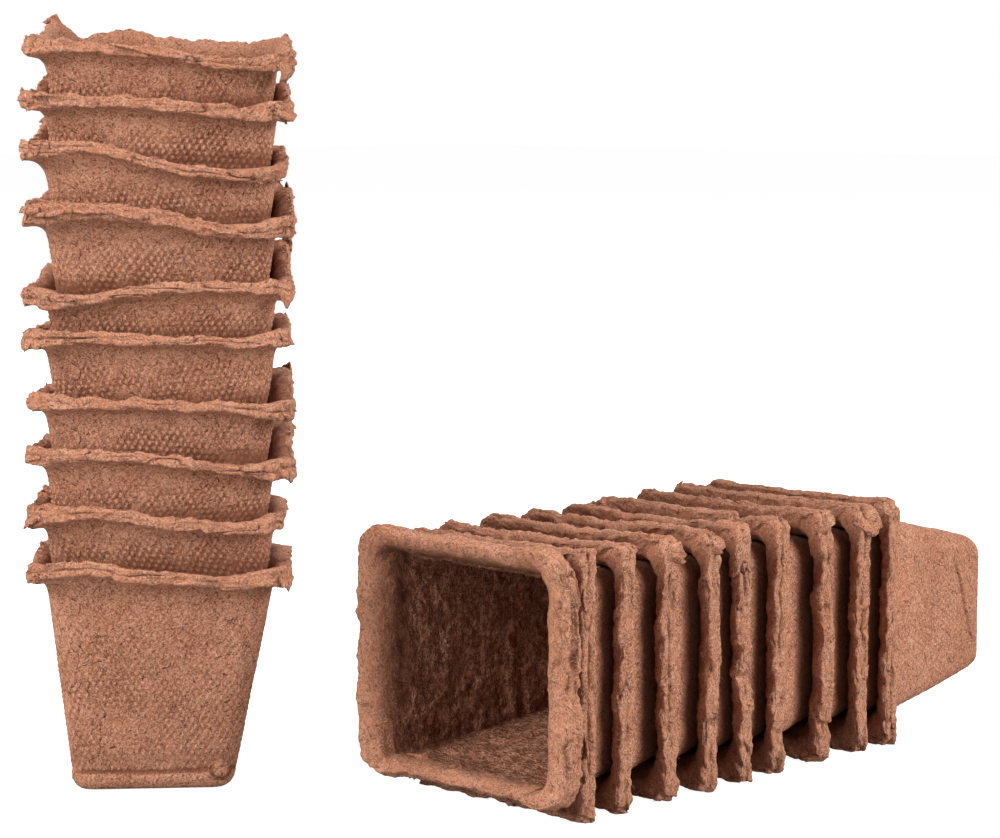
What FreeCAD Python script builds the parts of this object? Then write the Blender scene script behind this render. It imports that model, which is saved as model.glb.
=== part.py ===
import FreeCAD, Part
import math
import os

import Sketcher
from FreeCAD import Placement, Rotation, Vector

# Twenty square peat pots in two nested stacks of ten.
# One stack stands on the foot of its lowest pot. The other lies on the edges of its lips.
# Millimetres. The origin is the centre of the standing stack's foot, on the floor, and +Z is up.
# +Y runs along the lying stack from its open mouth to its foot.
# Each pot is pressed from peat fibre in one piece: a tapered cup, then a lip turned outwards.

# Driving dimensions: name, value and meaning.
SIZES = (
    ("foot_width", 48, "outside width of the flat foot"),
    ("mouth_width", 69, "outside width at the top of the straight wall"),
    ("shoulder_height", 67.5, "foot to the top of the straight wall, where the lip begins"),
    ("foot_corner", 6, "corner radius at the foot"),
    ("mouth_corner", 8, "corner radius at the top of the straight wall"),
    ("rim_corner", 9, "corner radius of a full lip's outer edge"),
    ("floor_thickness", 2.2, "thickness of the bottom"),
    ("lip_thickness", 3.4, "thickness of the lip"),
    ("lip_reach", 5.5, "how far a full lip stands out from the wall"),
    ("lip_drop", 1.4, "how far the lip's edge hangs below the top of the straight wall"),
    ("lip_wave", 4, "rise or fall of the lip's edge for a wave share of 1"),
    ("nest_clearance", 0.3, "gap between a pot's wall and the pot inside it"),
    ("cut_overrun", 1, "how far the cavity's cut runs past the top of the wall"),
    ("lying_side_offset", 98.7, "standing stack's centre to the lying stack's axis, along X"),
    ("lying_foot_offset", 254, "standing stack's centre to the lying stack's foot, along Y"),
    ("stack_turn_degrees", 44.7, "turn of the standing stack about its upright axis"),
    ("stack_lean_share", 0.03, "sideways lean of the standing stack, as a share of its height"),
)

# Pressed fibre varies in thickness. The outermost pot of each stack comes first.
# A thicker wall holds the next pot further out, which spaces the lips unevenly.
STANDING_WALLS = (2.27, 2.42, 2.24, 2.68, 1.92, 2.9, 2.25, 2.24, 1.97, 2.4)
LYING_WALLS = (2.08, 2.55, 3.15, 2.28, 2.13, 2.53, 2.71, 1.92, 1.92, 2.4)

# How much of the full reach each lip has kept. Handling has worn and curled the standing ones.
STANDING_REACH_SHARES = (0.8, 0.75, 0.75, 0.75, 0.75, 0.8, 0.75, 0.75, 0.75, 0.8)
LYING_REACH_SHARES = (1.0, 1.0, 1.0, 1.0, 1.0, 1.0, 1.0, 1.0, 1.0, 1.0)

# Height of each lip's edge at eight places, anticlockwise from the front left corner:
# corner, middle of the front, corner, middle of the right side, and so on.
STANDING_WAVE_SHARES = (
    (0.7, -0.1, -0.4, -0.8, -1.5, -1.2, -0.7, 0.1),
    (0.8, -0.1, -0.6, -1.0, -1.8, -1.0, -0.4, 0.3),
    (0.5, 0.2, -0.8, -0.2, 0.1, -0.3, -0.6, 0.0),
    (0.3, 0.1, -0.4, 0.0, 0.3, -0.2, -0.7, -0.2),
    (0.2, 0.0, -0.2, 0.0, -0.3, -0.4, -0.7, -0.1),
    (-0.7, 0.2, 0.2, 0.7, 1.8, 0.6, 0.2, -0.3),
    (0.7, 0.1, -1.0, 0.3, 1.2, 0.8, 0.9, 0.7),
    (1.2, -0.1, -1.0, -0.3, 0.5, 1.1, 2.5, 1.6),
    (0.4, 0.1, -0.6, 0.4, 1.4, 1.2, 1.7, 0.8),
    (0.5, 0.1, -0.8, -0.1, 0.6, 0.9, 1.6, 1.2),
)
LYING_WAVE_SHARES = (
    (-0.3, -0.5, -0.2, -0.4, -0.3, -0.5, -0.6, -0.4),
    (-0.4, -0.2, -0.6, -0.3, -0.7, -0.4, -0.3, -0.5),
    (-0.7, -0.4, -0.2, -0.6, -0.3, -0.2, -0.5, -0.6),
    (-0.3, -0.6, -0.3, -0.2, -0.5, -0.7, -0.4, -0.3),
    (-0.5, -0.3, -0.7, -0.4, -0.2, -0.4, -0.7, -0.4),
    (-0.3, -0.5, -0.2, -0.7, -0.6, -0.3, -0.3, -0.6),
    (-0.6, -0.3, -0.4, -0.2, -0.3, -0.6, -0.5, -0.3),
    (-0.4, -0.6, -0.2, -0.4, -0.7, -0.3, -0.4, -0.5),
    (-0.5, -0.3, -0.1, 0.1, -0.1, -0.4, -0.6, -0.4),
    (-0.4, -0.5, -0.9, -1.1, -0.9, -0.5, -0.4, -0.4),
)

os.makedirs("parts", exist_ok=True)
doc = FreeCAD.newDocument("PeatPots")
sheet = doc.addObject("Spreadsheet::Sheet", "Dimensions")


def write_sheet():
    """Fill the sheet with the driving dimensions and every pot's own wall."""
    rows = list(SIZES)
    for stack, walls in (("standing", STANDING_WALLS), ("lying", LYING_WALLS)):
        for number, wall in enumerate(walls, start=1):
            meaning = f"wall of {stack} pot {number}, counted from the outermost"
            rows.append((wall_name(stack, number), wall, meaning))
    for row, (name, value, meaning) in enumerate(rows, start=1):
        sheet.set(f"A{row}", meaning)
        sheet.set(f"B{row}", str(value))
        sheet.setAlias(f"B{row}", name)
    doc.recompute()


def wall_name(stack, number):
    return f"{stack}_wall_{number:02d}"


def size(name):
    return float(sheet.get(name))


def cell(name):
    return f"Dimensions.{name}"


# Expressions shared by the sketches and the placements.
TAPER = f"(({cell('mouth_width')} - {cell('foot_width')}) / 2 / {cell('shoulder_height')})"
SLANT = f"sqrt(1 + {TAPER} ^ 2)"
CORNER_GROWTH = f"(({cell('mouth_corner')} - {cell('foot_corner')}) / {cell('shoulder_height')})"


def climb(stack, number):
    """Expression for how far a pot's foot stands above the outermost pot's foot."""
    layers = [f"{cell(wall_name(stack, outer))} + {cell('nest_clearance')}" for outer in range(1, number)]
    return f"(({' + '.join(layers) or '0'}) * {SLANT} / {TAPER})"


def outline_sketch(body, name, height, inset, lean):
    """A round-cornered square across the pot, at a height, drawn inside its outer face by inset."""
    half = f"{cell('foot_width')} / 2 + {TAPER} * ({height}) - ({inset}) * {SLANT}"
    corner = f"{cell('foot_corner')} + {CORNER_GROWTH} * ({height}) - ({inset})"
    sketch = body.newObject("Sketcher::SketchObject", name)
    plane = next(item for item in body.Origin.OriginFeatures if item.Role == "XY_Plane")
    sketch.AttachmentSupport = [(plane, "")]
    sketch.MapMode = "FlatFace"
    sketch.setExpression("AttachmentOffset.Base.z", height)
    sketch.setExpression("AttachmentOffset.Base.x", f"({height}) * {lean}")

    # Drawn at about its size, and then held by its constraints.
    reach = size("foot_width") / 2
    bend = size("foot_corner") / 2
    straight = reach - bend
    centres = ((straight, straight), (-straight, straight), (-straight, -straight), (straight, -straight))
    for quarter, (x, y) in enumerate(centres):
        start = quarter * math.pi / 2
        circle = Part.Circle(Vector(x, y, 0), Vector(0, 0, 1), bend)
        sketch.addGeometry(Part.ArcOfCircle(circle, start, start + math.pi / 2), False)
    ends = (
        ((straight, reach), (-straight, reach)),
        ((-reach, straight), (-reach, -straight)),
        ((-straight, -reach), (straight, -reach)),
        ((reach, -straight), (reach, straight)),
    )
    for (x, y), (to_x, to_y) in ends:
        sketch.addGeometry(Part.LineSegment(Vector(x, y, 0), Vector(to_x, to_y, 0)), False)
    for arc in range(4):
        line = 4 + arc
        following = (arc + 1) % 4
        sketch.addConstraint(Sketcher.Constraint("Tangent", arc, 2, line, 1))
        sketch.addConstraint(Sketcher.Constraint("Tangent", line, 2, following, 1))
        sketch.addConstraint(Sketcher.Constraint("Vertical" if arc % 2 else "Horizontal", line))
    for arc in range(1, 4):
        sketch.addConstraint(Sketcher.Constraint("Equal", 0, arc))
    sizes = (
        ("corner", Sketcher.Constraint("Radius", 0, bend), corner),
        ("back", Sketcher.Constraint("DistanceY", -1, 1, 4, 1, reach), half),
        ("left", Sketcher.Constraint("DistanceX", 5, 1, -1, 1, reach), half),
        ("front", Sketcher.Constraint("DistanceY", 6, 1, -1, 1, reach), half),
        ("right", Sketcher.Constraint("DistanceX", -1, 1, 7, 1, reach), half),
    )
    for label, constraint, expression in sizes:
        index = sketch.addConstraint(constraint)
        sketch.renameConstraint(index, label)
        sketch.setExpression(f"Constraints.{label}", expression)
    return sketch


def cup(name, wall, lean):
    """The straight-walled cup: a tapered block with a tapered cavity that stops at the floor."""
    body = doc.addObject("PartDesign::Body", f"{name}_cup")
    foot = outline_sketch(body, f"{name}_foot", "0", "0", lean)
    shoulder = outline_sketch(body, f"{name}_shoulder", cell("shoulder_height"), "0", lean)
    block = body.newObject("PartDesign::AdditiveLoft", f"{name}_block")
    block.Profile = foot
    block.Sections = [shoulder]
    block.Ruled = True
    inside = outline_sketch(body, f"{name}_inside", cell("floor_thickness"), wall, lean)
    above = f"{cell('shoulder_height')} + {cell('cut_overrun')}"
    opening = outline_sketch(body, f"{name}_opening", above, wall, lean)
    cavity = body.newObject("PartDesign::SubtractiveLoft", f"{name}_cavity")
    cavity.Profile = inside
    cavity.Sections = [opening]
    cavity.Ruled = True
    return body


def lip_loop(half, corner, height, sideways, heights):
    """One closed loop round the lip: four sides that may wave, joined by level round corners."""
    straight = half - corner
    turns = ((-1, -1), (1, -1), (1, 1), (-1, 1))
    edges = []
    for side, (x, y) in enumerate(turns):
        next_x, next_y = turns[(side + 1) % 4]
        along = Vector(next_x - x, next_y - y, 0).normalize()
        outward = Vector(along.y, -along.x, 0)
        lift_start = heights[2 * side]
        lift_end = heights[(2 * side + 2) % 8]
        centre_start = Vector(x * straight + sideways, y * straight, height + lift_start)
        centre_end = Vector(next_x * straight + sideways, next_y * straight, height + lift_end)
        start = centre_start + outward * corner
        end = centre_end + outward * corner
        middle = (start + end) * 0.5
        middle.z = height + heights[2 * side + 1]
        if any(heights):
            curve = Part.BSplineCurve()
            curve.interpolate(Points=[start, middle, end], InitialTangent=along, FinalTangent=along)
            edges.append(curve.toShape())
        else:
            edges.append(Part.LineSegment(start, end).toShape())
        bisector = (outward + along).normalize()
        edges.append(Part.Arc(end, centre_end + bisector * corner, centre_end + along * corner).toShape())
    return edges


def lip(name, wall, reach_share, wave_shares, lean):
    """The lip, turned outwards over the top of the wall, with a wavy outer edge."""
    taper = (size("mouth_width") - size("foot_width")) / 2 / size("shoulder_height")
    corner_growth = (size("mouth_corner") - size("foot_corner")) / size("shoulder_height")
    slant = math.hypot(1, taper)
    low = size("shoulder_height")
    high = low + size("lip_thickness")
    edge_low = low - size("lip_drop")
    edge_high = edge_low + size("lip_thickness")
    edge_half = size("mouth_width") / 2 + size("lip_reach") * reach_share
    edge_corner = size("rim_corner")
    waves = [share * size("lip_wave") for share in wave_shares]
    level = [0] * len(waves)

    def at(height, inset):
        half = size("foot_width") / 2 + taper * height - inset * slant
        corner = size("foot_corner") + corner_growth * height - inset
        return half, corner, height, lean * height

    loops = [
        lip_loop(*at(low, wall), level),
        lip_loop(*at(low, 0), level),
        lip_loop(edge_half, edge_corner, edge_low, lean * low, waves),
        lip_loop(edge_half, edge_corner, edge_high, lean * low, waves),
        lip_loop(*at(high, wall), level),
    ]
    faces = []
    for here, there in zip(loops, loops[1:] + loops[:1]):
        for edge, opposite in zip(here, there):
            faces.append(Part.makeRuledSurface(edge, opposite))
    shell = Part.makeShell(faces)
    shell.sewShape()
    ring = doc.addObject("Part::Feature", f"{name}_lip")
    ring.Shape = Part.makeSolid(shell)
    return ring


def pot(stack, number, reach_share, wave_shares, lean_name):
    """One pot, its foot at its own origin and its mouth towards its own +Z."""
    name = f"{stack}_pot_{number:02d}"
    wall = wall_name(stack, number)
    lean_expression = cell(lean_name) if lean_name else "0"
    lean = size(lean_name) if lean_name else 0
    body = cup(name, cell(wall), lean_expression)
    ring = lip(name, size(wall), reach_share, wave_shares, lean)
    whole = doc.addObject("Part::Fuse", name)
    whole.Label = name
    whole.Base = body
    whole.Tool = ring
    whole.Refine = True
    return whole


def standing_stack():
    """Each pot stands in the one below, a little further along the leaning stack."""
    pots = []
    turn = cell("stack_turn_degrees") + " * 1 deg"
    upright_turn = Rotation(Vector(0, 0, 1), size("stack_turn_degrees"))
    tables = zip(STANDING_REACH_SHARES, STANDING_WAVE_SHARES)
    for number, (reach_share, wave_shares) in enumerate(tables, start=1):
        whole = pot("standing", number, reach_share, wave_shares, "stack_lean_share")
        whole.Placement = Placement(Vector(0, 0, 0), upright_turn)
        height = climb("standing", number)
        sideways = f"{height} * {cell('stack_lean_share')}"
        whole.setExpression("Placement.Rotation.Angle", turn)
        whole.setExpression("Placement.Base.x", f"{sideways} * cos({turn})")
        whole.setExpression("Placement.Base.y", f"{sideways} * sin({turn})")
        whole.setExpression("Placement.Base.z", height)
        pots.append(whole)
    return pots


def lying_stack():
    """The stack on its side: its axis is level, and every lip touches the floor."""
    pots = []
    quarter_turn = Rotation(Vector(1, 0, 0), 90)
    axis_height = f"{cell('mouth_width')} / 2 + {cell('lip_reach')}"
    tables = zip(LYING_REACH_SHARES, LYING_WAVE_SHARES)
    for number, (reach_share, wave_shares) in enumerate(tables, start=1):
        whole = pot("lying", number, reach_share, wave_shares, None)
        whole.Placement = Placement(Vector(0, 0, 0), quarter_turn)
        distance = f"{cell('lying_foot_offset')} - {climb('lying', number)}"
        whole.setExpression("Placement.Base.x", cell("lying_side_offset"))
        whole.setExpression("Placement.Base.y", distance)
        whole.setExpression("Placement.Base.z", axis_height)
        pots.append(whole)
    return pots


def check(pots):
    """Stop before anything is written if a step failed or a pot isn't one sound solid."""
    for item in doc.Objects:
        if "Invalid" in item.State or "Error" in item.State:
            raise RuntimeError(f"{item.Name} failed: {item.State}")
    for whole in pots:
        shape = whole.Shape
        if shape.isNull() or not shape.isValid() or len(shape.Solids) != 1:
            raise RuntimeError(f"{whole.Label} isn't one sound solid")
        if shape.Volume <= whole.Base.Shape.Volume:
            raise RuntimeError(f"{whole.Label} has lost its lip")


write_sheet()
pots = standing_stack() + lying_stack()
doc.recompute()
check(pots)
for whole in pots:
    whole.Shape.exportStep(f"parts/{whole.Label}.step")
    box = whole.Shape.BoundBox
    print(f"{whole.Label}: volume {whole.Shape.Volume:.0f}, z {box.ZMin:.2f} to {box.ZMax:.2f}")
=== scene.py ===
import math

import bpy
import numpy as np
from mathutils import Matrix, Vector


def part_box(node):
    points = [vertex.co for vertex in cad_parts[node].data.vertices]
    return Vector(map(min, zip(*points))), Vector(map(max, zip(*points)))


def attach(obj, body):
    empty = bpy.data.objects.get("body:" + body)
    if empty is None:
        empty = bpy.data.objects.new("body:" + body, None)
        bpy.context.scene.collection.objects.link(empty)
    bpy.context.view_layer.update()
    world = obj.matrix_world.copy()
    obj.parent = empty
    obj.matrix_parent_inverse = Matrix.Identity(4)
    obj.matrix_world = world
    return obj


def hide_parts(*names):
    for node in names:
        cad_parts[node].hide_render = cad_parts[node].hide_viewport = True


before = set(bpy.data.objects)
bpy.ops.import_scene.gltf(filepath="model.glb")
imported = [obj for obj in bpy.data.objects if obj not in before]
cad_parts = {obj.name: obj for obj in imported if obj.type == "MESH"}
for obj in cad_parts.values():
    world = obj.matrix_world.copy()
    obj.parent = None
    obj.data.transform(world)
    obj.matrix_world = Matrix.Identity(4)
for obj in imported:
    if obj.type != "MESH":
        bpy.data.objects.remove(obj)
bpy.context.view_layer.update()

POTS = 10  # in each stack; 1 is the outermost

# Sizes of a pot in millimetres, as it is moulded. Positions come from the frame.
MM = 0.001
FOOT_WIDTH = 48.0
MOUTH_WIDTH = 69.0
SHOULDER_HEIGHT = 67.5
FOOT_CORNER = 6.0
MOUTH_CORNER = 8.0
FULL_REACH = 5.5
FLOOR_THICKNESS = 2.2
NEST_CLEARANCE = 0.3
STACK_TURN = math.radians(44.7)
STACK_LEAN = 0.016
STACK_SHIFT = (-0.9, 0.0)  # in millimetres, to the camera's left
FOOT_SHIFT = 2.2  # how much further left the foot stands, fading out at this height:
FOOT_SHIFT_HEIGHT = 62.0
STACK_TWIST = math.radians(4.5)
SAG = (1.5, 4.0, -4.2)  # how the lying stack's far end has sunk and shifted
SAG_START = 188.0
SAG_LENGTH = 66.0
MOUTH_LIFT = 2.5  # how far the open mouth of the lying stack is bent up,
MOUTH_BEND = (51.0, 66.0)  # and over which part of the pot's height
LIP_LEVEL = 67.8  # height of an average lip's outer edge, at half its thickness
ARRIS = 0.8  # rounding of the lip's torn edge
FOOT_CREASE = 6.0  # height of the crease over the foot
SIDE_CREASE = 11.0  # height of the crease across the outermost lying pot's side
SIDE_CREASE_SLANT = 0.42
KNOB_PLACE = (20.2, 6.2)  # round knob beside the crease: how far to the right, how high
KNOB_SIZE = 2.8
FLOOR_EDGE = 3.5  # rounding where the wall meets the floor inside

FOOT_STEPS = 7  # rings round the foot's edge
LIP_STEPS = 17  # rings over each face of a lip,
ARRIS_STEPS = 5  # round each arris of its torn edge
BAND_STEPS = 13  # and across the edge
LEAST_REACH = 1.6
LEAST_THICKNESS = 1.8
LEAST_CORNER = 0.6
CRACK_DEPTH = 0.9
SHADE_END = 30.0  # well above the next pot's lip, where its shade has ended
INNERMOST_WALL = 2.4

SEED_STEP = 23  # from pot to pot
LYING_SEEDS = 500
FIBRES = 420  # loose fibres on each pot, their least and greatest length and thickness
FIBRE_LENGTH = (0.6, 1.8)
FIBRE_THICKNESS = (0.04, 0.075)
FIBRE_ROOT = 0.25  # how deep a fibre starts
FIBRE_STEPS = 4
FLAKE_STEPS = 6  # points along and across a flake
FLAKE_LENGTH = (0.6, 1.3)
FLAKE_WIDTH = (1.6, 3.4)
FLAKE_THICKNESS = (0.5, 1.0)
FLAKE_ROOT = 0.8
LONG_FLAP = 6  # longer flaps than this narrow less and have squarer ends
LOOSE_PATTERN = 300.0  # carries the pattern of loose parts and flat ends clear of the wall's
QUARTER_TURN = math.pi / 2

TAPER = (MOUTH_WIDTH - FOOT_WIDTH) / 2 / SHOULDER_HEIGHT
SLANT = math.hypot(1, TAPER)
CORNER_GROWTH = (MOUTH_CORNER - FOOT_CORNER) / SHOULDER_HEIGHT

# The forming screen leaves staggered bumps: their spacing along a row and from row to second row.
SCREEN_PITCH = 2.1
SCREEN_ROWS = 3.4
SCREEN_DEPTH = 0.38

# Lips. Four rows for each pot: places round the lip, and there the rise of its edge above the usual
# level, its reach from the wall and its thickness. Places run from 0 to 8: 0 is the front left corner,
# 1 the middle of the front, 2 the front right corner, 4 the back right corner and 6 the back left one.
# On the lying pots, 0 to 2 is the side on the floor and 2 to 4 the side towards the camera.
STANDING_PLACES = (0.0, 0.35, 1.0, 1.7, 2.0, 3.0, 4.0, 5.0, 6.0, 7.0)
LYING_PLACES = (0.0, 1.0, 2.0, 3.0, 4.0, 5.0, 6.0, 7.0)


def lying_lip(rises, near_thicknesses):
    """A lying pot's lip: even in reach, with its own thickness on the side towards the camera."""
    reaches = (FULL_REACH,) * len(LYING_PLACES)
    return LYING_PLACES, rises, reaches, (4.2, 4.0, *near_thicknesses, 4.0, 4.2, 4.0)


LIPS = {
    "standing_pot_01": (
        STANDING_PLACES,
        (1.0, 2.4, -0.6, -1.7, -0.6, -3.0, -5.5, -4.0, -2.5, 0.5),
        (4.6, 4.2, 4.3, 4.3, 4.6, 4.2, 4.4, 4.2, 4.8, 4.4),
        (5.0, 4.2, 4.0, 4.0, 5.0, 3.6, 3.6, 3.6, 4.0, 3.6),
    ),
    "standing_pot_02": (
        STANDING_PLACES,
        (1.2, 2.6, -0.3, -2.6, -1.6, -4.0, -6.0, -4.0, -1.4, 1.2),
        (4.6, 4.2, 4.2, 4.2, 2.4, 2.8, 2.6, 3.8, 4.6, 4.2),
        (5.0, 4.0, 3.8, 3.6, 3.6, 3.4, 3.4, 3.4, 3.8, 3.4),
    ),
    "standing_pot_03": (
        STANDING_PLACES,
        (1.4, 1.9, 0.7, -3.0, -3.0, -1.0, 0.8, -1.0, -2.4, -0.3),
        (4.4, 3.8, 4.0, 4.0, 4.8, 4.4, 5.4, 4.2, 4.2, 4.0),
        (4.2, 3.4, 3.2, 3.2, 4.6, 3.6, 4.2, 3.4, 3.4, 3.4),
    ),
    "standing_pot_04": (
        STANDING_PLACES,
        (0.9, 1.2, 0.3, -1.4, -2.4, -0.4, 1.5, -1.0, -2.8, -0.8),
        (4.2, 3.8, 4.0, 4.0, 4.8, 4.6, 4.8, 4.2, 4.2, 4.0),
        (4.2, 3.4, 3.4, 3.6, 4.4, 3.6, 4.2, 3.4, 3.4, 3.4),
    ),
    "standing_pot_05": (
        STANDING_PLACES,
        (0.4, 0.6, 0.0, -0.6, 0.3, 0.5, -1.0, -1.6, -2.6, -0.6),
        (5.4, 4.4, 4.0, 4.0, 3.8, 3.6, 3.6, 4.0, 4.4, 4.2),
        (4.8, 3.8, 3.2, 3.2, 4.0, 3.4, 4.0, 3.4, 3.4, 3.4),
    ),
    "standing_pot_06": (
        STANDING_PLACES,
        (-1.6, -2.6, 1.0, 0.7, 0.8, 3.0, 7.6, 2.6, 1.0, -1.0),
        (5.2, 4.0, 4.2, 4.2, 4.2, 3.8, 3.8, 4.0, 4.4, 4.2),
        (4.2, 3.4, 3.4, 3.4, 4.2, 3.6, 3.4, 3.4, 3.4, 3.4),
    ),
    "standing_pot_07": (
        STANDING_PLACES,
        (2.0, 2.6, 0.6, -3.8, -2.6, 1.5, 4.8, 3.4, 3.8, 3.0),
        (5.2, 4.6, 4.6, 4.4, 4.8, 4.4, 4.6, 4.2, 4.6, 4.4),
        (6.5, 5.4, 4.6, 4.2, 4.8, 3.6, 3.6, 3.4, 3.6, 3.8),
    ),
    "standing_pot_08": (
        STANDING_PLACES,
        (3.6, 4.6, -0.5, -4.0, -3.4, -1.0, 1.0, 4.6, 10.0, 6.4),
        (5.6, 4.2, 4.0, 4.0, 2.4, 3.0, 2.4, 4.0, 4.2, 4.2),
        (4.2, 3.8, 3.4, 3.4, 3.8, 3.4, 3.6, 3.4, 3.2, 3.2),
    ),
    "standing_pot_09": (
        STANDING_PLACES,
        (2.0, 1.6, 0.4, -2.4, -1.6, 1.8, 5.0, 5.0, 6.8, 3.4),
        (5.6, 4.2, 4.0, 4.2, 3.8, 3.0, 3.0, 4.0, 4.4, 4.4),
        (4.0, 3.6, 3.6, 3.8, 4.4, 3.4, 3.4, 3.4, 3.4, 3.4),
    ),
    "standing_pot_10": (
        (0.0, 0.35, 1.0, 1.7, 2.0, 3.0, 4.0, 4.4, 5.0, 5.6, 5.7, 5.82, 5.95, 6.15, 7.0),
        (3.0, 2.2, 0.4, -3.0, -1.6, 0.4, 4.2, 2.6, 4.6, 5.4, 3.6, 5.0, 9.0, 8.2, 5.0),
        (4.6, 4.0, 4.0, 4.0, 4.2, 4.0, 3.6, 4.0, 4.0, 4.0, 3.6, 3.6, 3.6, 3.6, 4.0),
        (4.0, 3.4, 3.2, 3.4, 4.4, 3.6, 3.6, 3.4, 3.4, 3.2, 3.0, 3.0, 3.0, 3.0, 3.4),
    ),
    "lying_pot_01": lying_lip((-1.2, -2.0, -1.0, -1.6, -1.2, -2.0, -2.4, -1.6), (4.4, 4.4, 4.2)),
    "lying_pot_02": lying_lip((-1.6, -0.8, -2.4, -1.2, -2.8, -1.6, -1.2, -2.0), (4.8, 5.2, 5.2)),
    "lying_pot_03": lying_lip((-2.8, -1.6, -0.8, -2.4, -1.2, -0.8, -2.0, -2.4), (4.8, 5.2, 4.8)),
    "lying_pot_04": lying_lip((-1.2, -2.4, -1.2, -0.8, -2.0, -2.8, -1.6, -1.2), (4.6, 4.6, 4.6)),
    "lying_pot_05": lying_lip((-2.0, -1.2, -2.8, -1.6, -0.8, -1.6, -2.8, -1.6), (4.6, 4.8, 4.6)),
    "lying_pot_06": lying_lip((-1.2, -2.0, -0.8, -2.8, -2.4, -1.2, -1.2, -2.4), (4.6, 4.8, 4.6)),
    "lying_pot_07": lying_lip((-2.4, -1.2, -1.6, -0.8, -1.2, -2.4, -2.0, -1.2), (4.8, 5.0, 4.8)),
    "lying_pot_08": lying_lip((-1.6, -2.4, -0.8, -1.6, -2.8, -1.2, -1.6, -2.0), (4.8, 5.0, 4.8)),
    "lying_pot_09": lying_lip((-2.0, -1.2, -0.4, 0.4, -0.4, -1.6, -2.4, -1.6), (4.6, 4.6, 4.6)),
    "lying_pot_10": (
        (0.25, 1.0, 1.75, 2.2, 3.0, 3.8, 4.2, 5.0, 5.8, 6.2, 7.0, 7.75),
        (-0.8, -1.6, -3.0, -3.8, -4.2, -3.8, -3.0, -1.6, -0.6, -0.6, -0.6, -0.6),
        (2.0, 1.7, 1.6, 7.6, 8.2, 7.6, 3.8, 3.4, 4.2, 6.8, 7.4, 7.2),
        (5.0, 5.6, 6.2, 6.6, 6.6, 6.6, 6.4, 5.6, 4.6, 4.0, 3.4, 3.6),
    ),
}

# Torn flaps at the lips. Each row gives the place round the lip, the flap's length, width and
# thickness, how much it curls towards the foot, how far towards the foot it points where it starts,
# and, where it swings back along the lip, how far.
HANGING_EAR = (2.0, 5.0, 6.5, 1.4, 1.2, 0.5)
LEFT_EAR = (0.0, 4.0, 6.5, 1.3, -1.2, -0.4)
RAISED_EAR = (6.0, 4.0, 7.0, 1.2, -0.9, -0.8)
BACK_EAR = (4.0, 4.0, 8.0, 1.4, -1.1, -0.8)
FLAPS = {
    "standing_pot_01": (HANGING_EAR, (0.0, 4.0, 7.0, 1.4, 1.3, 0.2), RAISED_EAR),
    "standing_pot_02": ((0.0, 4.5, 6.0, 1.4, 1.0, 0.3), RAISED_EAR),
    "standing_pot_03": (HANGING_EAR, BACK_EAR, (0.0, 3.0, 6.0, 1.2, 1.2, 0.1)),
    "standing_pot_04": (HANGING_EAR, BACK_EAR, LEFT_EAR),
    "standing_pot_05": ((0.0, 5.0, 6.5, 1.4, 1.4, 0.5), (2.05, 4.0, 6.0, 1.4, 1.5, 0.2)),
    "standing_pot_06": (HANGING_EAR, (4.0, 4.5, 7.0, 1.2, -1.0, -0.9), (0.0, 3.5, 6.0, 1.2, -1.4, 0.0)),
    "standing_pot_07": (
        (0.05, 5.0, 9.0, 2.4, 2.2, -1.0), (0.2, 4.4, 13.0, 1.4, 2.0, -0.4),
        (0.48, 3.6, 12.0, 1.4, 2.1, -0.5), (0.78, 4.0, 12.0, 1.2, 1.9, -0.3),
        (1.45, 3.0, 14.0, 1.0, 1.8, -0.5), (3.95, 4.0, 7.0, 1.2, -0.9, -0.9),
    ),
    "standing_pot_08": (LEFT_EAR, (0.05, 4.0, 7.0, 1.3, 1.4, 0.3), RAISED_EAR),
    "standing_pot_09": (LEFT_EAR, (2.0, 4.0, 8.0, 2.0, 1.8, 0.2), RAISED_EAR),
    "standing_pot_10": (
        (2.0, 7.0, 8.0, 1.3, 1.5, 0.7), (1.85, 3.0, 8.0, 1.2, 1.2, 0.6),
        (3.9, 3.0, 7.0, 1.2, -1.0, -0.9), (0.0, 3.0, 7.0, 1.6, -1.4, -0.2),
        (6.0, 4.0, 7.0, 1.0, -0.8, -1.0), (1.0, 2.2, 30.0, 0.9, 1.5, -0.3),
    ),
    "lying_pot_02": ((4.0, 8.0, 9.0, 1.5, 1.4, 0.9, 1.1), (3.8, 5.0, 8.0, 1.4, 1.5, 0.0)),
    "lying_pot_03": ((3.9, 4.5, 8.0, 1.5, 1.8, -0.2),),
    "lying_pot_06": ((3.92, 5.5, 6.0, 2.0, 1.2, 0.4, 0.8), (3.8, 4.0, 5.0, 1.6, 1.4, 0.0, 0.4)),
    "lying_pot_07": (
        (3.95, 9.0, 8.0, 1.3, 1.9, 0.9, 1.35), (3.8, 7.0, 7.0, 1.2, 1.6, 0.8, 1.3),
        (3.6, 4.0, 9.0, 1.4, 1.8, -0.2),
    ),
    "lying_pot_09": ((3.6, 3.0, 9.0, 1.4, 1.2, -0.9), (2.6, 3.0, 11.0, 1.3, 1.0, -0.9)),
}

# Shades of the dried fibre, as linear colours. SHADE_BROWN is painted shade; DARK_BROWN and PALE_BROWN also
# serve as painted shade and painted highlight.
BROWN = (0.430, 0.178, 0.104, 1)
DARK_BROWN = (0.150, 0.050, 0.024, 1)
PALE_BROWN = (0.640, 0.315, 0.200, 1)
ORANGE = (0.470, 0.170, 0.072, 1)
STRAW = (0.740, 0.450, 0.310, 1)
SPECK = (0.040, 0.016, 0.010, 1)
SHADE_BROWN = (0.110, 0.036, 0.018, 1)


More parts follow.
